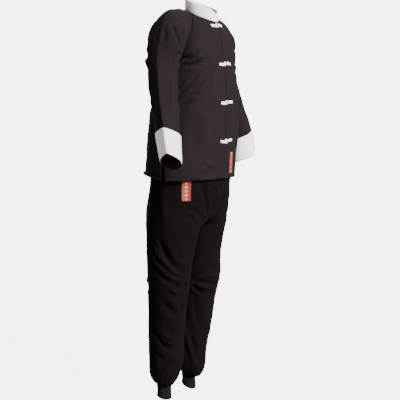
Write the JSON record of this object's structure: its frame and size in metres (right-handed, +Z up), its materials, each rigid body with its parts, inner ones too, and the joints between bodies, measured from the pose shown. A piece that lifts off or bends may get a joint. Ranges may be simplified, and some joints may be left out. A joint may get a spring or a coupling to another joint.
{
  "type": "tai chi uniform",
  "caption": "Loose jacket with stand collar, knotted frog closures and turned-back cuffs, with trousers gathered into ribbed ankles, in their worn form.",
  "frame": {"origin": "on the centre line at the height of the side of the neck, where the uniform hangs on the wearer's shoulders", "axes": "+Z up, the front faces -Y, the wearer's right is -X"},
  "size_m": [0.6672, 0.3018, 1.4824],
  "materials": {
    "jacket_cloth": "matt black cotton",
    "trouser_cloth": "matt black cotton",
    "white_trim": "white cotton",
    "rib_knit": "ribbed knit, near black",
    "label": "woven satin label, red with a plain yellow pattern"
  },
  "bodies": {
    "root": {"jacket_front_right": "jacket_cloth", "jacket_front_left": "jacket_cloth", "jacket_back": "jacket_cloth", "sleeve_right": "jacket_cloth", "sleeve_left": "jacket_cloth", "cuff_right": "white_trim", "cuff_left": "white_trim", "collar": "white_trim", "frog_loop_1": "white_trim", "frog_knot_1": "white_trim", "frog_loop_2": "white_trim", "frog_knot_2": "white_trim", "frog_loop_3": "white_trim", "frog_knot_3": "white_trim", "frog_loop_4": "white_trim", "frog_knot_4": "white_trim", "jacket_label": "label", "trouser_front_right": "trouser_cloth", "trouser_front_left": "trouser_cloth", "trouser_back_right": "trouser_cloth", "trouser_back_left": "trouser_cloth", "waistband": "trouser_cloth", "rib_cuff_right": "rib_knit", "rib_cuff_left": "rib_knit", "trouser_label": "label"}
  },
  "joints": []
}
